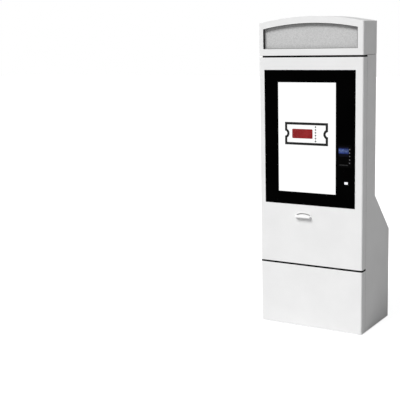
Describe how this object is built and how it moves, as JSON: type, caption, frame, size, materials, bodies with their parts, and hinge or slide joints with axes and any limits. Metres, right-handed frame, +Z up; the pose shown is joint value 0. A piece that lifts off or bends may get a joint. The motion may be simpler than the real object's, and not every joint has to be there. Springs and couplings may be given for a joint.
{
  "type": "ticket vending machine",
  "caption": "free-standing sheet steel ticket machine with a lit arched header, a portrait touch screen, card reader, code scanner, ticket chute, and hinged front, lower and rear doors",
  "frame": {"origin": "centre of the floor anchor pattern, on the underside of the base plate", "axes": "X across the front, to the right as seen by the customer; Y from the front to the back; Z up"},
  "size_m": [0.721, 0.514, 2.002],
  "materials": {
    "white_powder_coat": "fine textured white powder coat",
    "black_powder_coat": "satin black powder coat",
    "zinc_plate": "zinc plated sheet steel",
    "rubber": "matte black rubber",
    "diffuser": "opal acrylic sheet",
    "led_strip": "white LED strip on aluminium",
    "driver_case": "anodised",
    "screw_steel": "bright zinc",
    "computer_case": "black anodised, finned",
    "supply_case": "perforated, mill finish",
    "breaker_case": "light grey moulded",
    "breaker_lever": "black moulded",
    "fan_plastic": "black glass-filled plastic",
    "bezel_glass": "black back-printed glass",
    "cover_glass": "clear toughened touch glass",
    "display_panel": "lit white display",
    "reader_plastic": "black, slightly glossy",
    "reader_lcd": "blue backlit display",
    "key_plastic": "grey keycap",
    "scanner_case": "black moulded",
    "scanner_lens": "lit white window",
    "chute_plastic": "smooth white moulded",
    "printer_frame": "bent sheet steel",
    "printer_lid": "dark green moulded",
    "platen_rubber": "ground black rubber",
    "pinion_plastic": "natural acetal",
    "ticket_paper": "thermal ticket stock",
    "spindle_plastic": "black moulded"
  },
  "bodies": {
    "cabinet": {"base_plate": "zinc_plate", "base_tray": "zinc_plate", "cable_grommet": "rubber", "left_side_panel": "white_powder_coat", "right_side_panel": "white_powder_coat", "front_frame": "black_powder_coat", "door_gaskets": "rubber", "upper_back_panel": "white_powder_coat", "slope_panel": "white_powder_coat", "rear_frame": "white_powder_coat", "top_deck": "white_powder_coat", "header_gasket": "rubber", "header_shell": "white_powder_coat", "sign_frame": "black_powder_coat", "sign_diffuser": "diffuser", "header_light_bars": "led_strip", "header_led_driver": "driver_case", "header_back_cover": "white_powder_coat", "panel_screws": "screw_steel", "equipment_shelf": "zinc_plate", "computer": "computer_case", "power_supply": "supply_case", "breaker_box": "breaker_case", "fan_frame": "fan_plastic", "fan_guard": "zinc_plate", "cabinet_hinge_leaves": "zinc_plate", "hinge_pins": "zinc_plate", "latch_brackets": "zinc_plate"},
    "front_door": {"front_door_skin": "white_powder_coat", "front_door_hinge_leaves": "zinc_plate", "door_strikers": "zinc_plate", "screen_bezel": "bezel_glass", "glass_seat": "zinc_plate", "touch_glass": "cover_glass", "display_module": "display_panel", "display_brackets": "zinc_plate", "reader_housing": "reader_plastic", "reader_display": "reader_lcd", "scanner_housing": "scanner_case", "scanner_window": "scanner_lens", "ticket_chute": "chute_plastic", "printer_chassis": "printer_frame"},
    "lower_door": {"lower_door_skin": "white_powder_coat", "lower_door_hinge_leaves": "zinc_plate"},
    "rear_door": {"rear_door_skin": "white_powder_coat", "rear_door_hinge_leaves": "zinc_plate"},
    "rear_lock": {"rear_handle": "zinc_plate"},
    "front_latch": {"latch_shaft": "zinc_plate"},
    "fan": {"fan_rotor": "fan_plastic"},
    "breaker": {"breaker_toggle": "breaker_lever"},
    "platen": {"platen_roller": "platen_rubber"},
    "feed_drive": {"feed_pinion": "pinion_plastic"},
    "paper": {"paper_roll": "ticket_paper", "roll_spindle": "spindle_plastic"},
    "printer_cover": {"printer_lid": "printer_lid"},
    "key_1": {"reader_key_1": "key_plastic"},
    "key_2": {"reader_key_2": "key_plastic"},
    "key_3": {"reader_key_3": "key_plastic"},
    "key_4": {"reader_key_4": "key_plastic"},
    "key_5": {"reader_key_5": "key_plastic"}
  },
  "joints": [
    {"name": "front_door_hinge", "type": "hinge", "parent": "cabinet", "child": "front_door", "pos_m": [-0.3605, -0.173, 1.087], "axis": [0, 0, -1], "range_deg": [0, 110]},
    {"name": "lower_door_hinge", "type": "hinge", "parent": "cabinet", "child": "lower_door", "pos_m": [-0.3605, -0.173, 0.209], "axis": [0, 0, -1], "range_deg": [0, 110]},
    {"name": "rear_door_hinge", "type": "hinge", "parent": "cabinet", "child": "rear_door", "pos_m": [-0.3255, 0.2375, 0.3235], "axis": [0, 0, 1], "range_deg": [0, 110]},
    {"name": "rear_handle_turn", "type": "hinge", "parent": "rear_door", "child": "rear_lock", "pos_m": [0.282, 0.233, 0.3235], "axis": [0, 1, 0], "range_deg": [0, 90]},
    {"name": "front_latch_turn", "type": "hinge", "parent": "cabinet", "child": "front_latch", "pos_m": [0.298, -0.151, 0.8], "axis": [0, 0, 1], "range_deg": [0, 90]},
    {"name": "fan_spin", "type": "hinge", "parent": "cabinet", "child": "fan", "pos_m": [0, -0.04, 1.64], "axis": [0, 1, 0], "continuous": true},
    {"name": "breaker_throw", "type": "hinge", "parent": "cabinet", "child": "breaker", "pos_m": [-0.294, 0.04, 0.36], "axis": [0, 1, 0], "range_deg": [0, 70]},
    {"name": "printer_lid_hinge", "type": "hinge", "parent": "front_door", "child": "printer_cover", "pos_m": [-0.046, -0.113, 0.7954], "axis": [-1, 0, 0], "range_deg": [0, 80]},
    {"name": "platen_spin", "type": "hinge", "parent": "front_door", "child": "platen", "pos_m": [-0.046, -0.183, 0.74525], "axis": [1, 0, 0], "continuous": true},
    {"name": "feed_pinion_spin", "type": "hinge", "parent": "front_door", "child": "feed_drive", "pos_m": [0.006, -0.1578, 0.74525], "axis": [1, 0, 0], "continuous": true},
    {"name": "paper_roll_spin", "type": "hinge", "parent": "front_door", "child": "paper", "pos_m": [-0.046, -0.151, 0.652], "axis": [1, 0, 0], "continuous": true},
    {"name": "key_1_press", "type": "slide", "parent": "front_door", "child": "key_1", "axis": [0, 1, 0], "range_m": [0, 0.0012], "stiffness_N_per_m": 250, "springref_m": -0.0008},
    {"name": "key_2_press", "type": "slide", "parent": "front_door", "child": "key_2", "axis": [0, 1, 0], "range_m": [0, 0.0012], "stiffness_N_per_m": 250, "springref_m": -0.0008},
    {"name": "key_3_press", "type": "slide", "parent": "front_door", "child": "key_3", "axis": [0, 1, 0], "range_m": [0, 0.0012], "stiffness_N_per_m": 250, "springref_m": -0.0008},
    {"name": "key_4_press", "type": "slide", "parent": "front_door", "child": "key_4", "axis": [0, 1, 0], "range_m": [0, 0.0012], "stiffness_N_per_m": 250, "springref_m": -0.0008},
    {"name": "key_5_press", "type": "slide", "parent": "front_door", "child": "key_5", "axis": [0, 1, 0], "range_m": [0, 0.0012], "stiffness_N_per_m": 250, "springref_m": -0.0008}
  ],
  "couplings": [
    {"joint": "feed_pinion_spin", "follows": "platen_spin", "ratio": -2.5}
  ]
}
